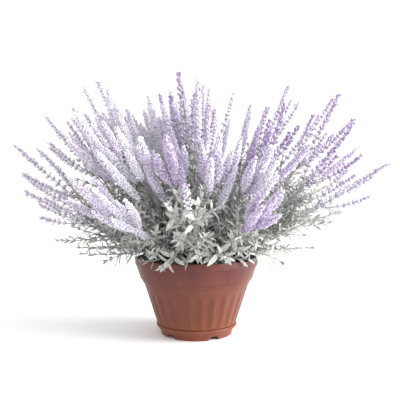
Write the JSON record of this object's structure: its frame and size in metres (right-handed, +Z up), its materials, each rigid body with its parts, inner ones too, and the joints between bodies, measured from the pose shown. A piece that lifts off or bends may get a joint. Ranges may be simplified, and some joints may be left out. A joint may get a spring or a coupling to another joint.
{
  "type": "potted russian sage",
  "caption": "Flowering Russian sage plant with silver leaves and upright lilac flower spikes, growing in a fluted round plastic pot with its clip-on saucer.",
  "frame": {"origin": "on the ground under the middle of the pot, at the centre of the saucer's middle support", "axes": "+Z up along the pot's axis, -Y towards the plant's front, +X to the right as seen from the front"},
  "size_m": [0.5969, 0.4416, 0.4303],
  "materials": {
    "pot_plastic": "satin moulded, terracotta brown",
    "saucer_plastic": "satin moulded, darker terracotta brown",
    "soil": "loose crumbly potting mix",
    "bark": "rough grey-brown bark",
    "silver_stem": "fine white down over grey-green",
    "silver_leaf": "fine white down over grey-green",
    "lilac_flower": "woolly lilac"
  },
  "bodies": {
    "root": {"saucer": "saucer_plastic", "pot": "pot_plastic", "potting_soil": "soil", "crown": "bark", "stem_01": "silver_stem", "flower_panicle_01": "lilac_flower", "stem_02": "silver_stem", "flower_panicle_02": "lilac_flower", "stem_03": "silver_stem", "flower_panicle_03": "lilac_flower", "stem_04": "silver_stem", "flower_panicle_04": "lilac_flower", "stem_05": "silver_stem", "flower_panicle_05": "lilac_flower", "stem_06": "silver_stem", "flower_panicle_06": "lilac_flower", "stem_07": "silver_stem", "flower_panicle_07": "lilac_flower", "stem_08": "silver_stem", "flower_panicle_08": "lilac_flower", "stem_09": "silver_stem", "flower_panicle_09": "lilac_flower", "stem_10": "silver_stem", "flower_panicle_10": "lilac_flower", "stem_11": "silver_stem", "flower_panicle_11": "lilac_flower", "stem_12": "silver_stem", "flower_panicle_12": "lilac_flower", "stem_13": "silver_stem", "flower_panicle_13": "lilac_flower", "stem_14": "silver_stem", "flower_panicle_14": "lilac_flower", "stem_15": "silver_stem", "flower_panicle_15": "lilac_flower", "stem_16": "silver_stem", "flower_panicle_16": "lilac_flower", "stem_17": "silver_stem", "flower_panicle_17": "lilac_flower", "stem_18": "silver_stem", "flower_panicle_18": "lilac_flower", "stem_19": "silver_stem", "flower_panicle_19": "lilac_flower", "stem_20": "silver_stem", "flower_panicle_20": "lilac_flower", "stem_21": "silver_stem", "flower_panicle_21": "lilac_flower", "stem_22": "silver_stem", "flower_panicle_22": "lilac_flower", "stem_23": "silver_stem", "flower_panicle_23": "lilac_flower", "stem_24": "silver_stem", "flower_panicle_24": "lilac_flower", "leafy_shoot_01": "silver_leaf", "leafy_shoot_02": "silver_leaf", "leafy_shoot_03": "silver_leaf", "leafy_shoot_04": "silver_leaf", "leafy_shoot_05": "silver_leaf", "leafy_shoot_06": "silver_leaf", "leafy_shoot_07": "silver_leaf", "leafy_shoot_08": "silver_leaf"}
  },
  "joints": []
}
